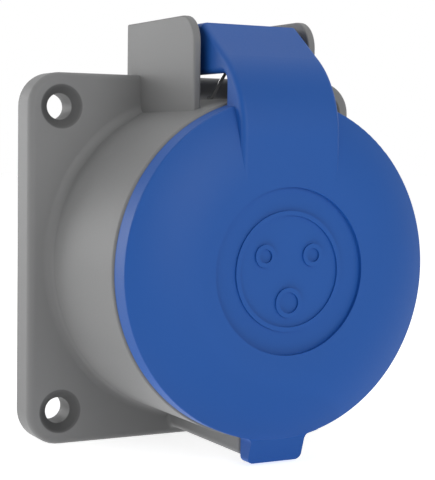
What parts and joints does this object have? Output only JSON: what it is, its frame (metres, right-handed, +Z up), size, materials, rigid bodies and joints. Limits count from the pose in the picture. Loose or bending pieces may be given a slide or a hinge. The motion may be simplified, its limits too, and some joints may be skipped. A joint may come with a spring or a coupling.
{
  "type": "industrial panel socket",
  "caption": "Square-flanged round panel socket with a keyed collar, split pin contacts, rear screw terminals and a sprung hinged lid.",
  "frame": {"origin": "centre of the flange's back face, where it meets the panel", "axes": "+Y into the panel along the socket's axis, +Z up towards the hinge, +X to the right seen from the front"},
  "size_m": [0.066, 0.0664, 0.0754],
  "materials": {
    "housing_plastic": "fine matt mould texture",
    "lid_plastic": "satin, fine mould texture",
    "insert_plastic": "satin",
    "seal_rubber": "matt",
    "steel": "zinc plated",
    "brass": "turned, bright"
  },
  "bodies": {
    "socket": {"flange": "housing_plastic", "housing": "housing_plastic", "flange_gasket": "seal_rubber", "hinge_pin": "steel", "lid_spring": "steel", "insert_face": "insert_plastic", "contact_insert": "insert_plastic", "insert_base": "insert_plastic", "rear_plate": "insert_plastic", "fixing_screw_left": "steel", "fixing_screw_right": "steel", "earth_pole_tube": "insert_plastic", "earth_terminal_box": "insert_plastic", "earth_contact": "brass", "earth_spring_ring": "steel", "earth_terminal_screw": "steel", "earth_pressure_plate": "steel", "line_pole_tube": "insert_plastic", "line_terminal_box": "insert_plastic", "line_contact": "brass", "line_spring_ring": "steel", "line_terminal_screw": "steel", "line_pressure_plate": "steel", "neutral_pole_tube": "insert_plastic", "neutral_terminal_box": "insert_plastic", "neutral_contact": "brass", "neutral_spring_ring": "steel", "neutral_terminal_screw": "steel", "neutral_pressure_plate": "steel"},
    "lid": {"lid": "lid_plastic", "lid_gasket": "seal_rubber"}
  },
  "joints": [
    {"name": "lid_hinge", "type": "hinge", "parent": "socket", "child": "lid", "pos_m": [0, -0.0135, 0.03685], "axis": [-1, 0, 0], "range_deg": [0, 105], "stiffness_Nm_per_rad": 0.03, "springref_deg": -60.16, "deforming": ["lid_spring"]}
  ]
}
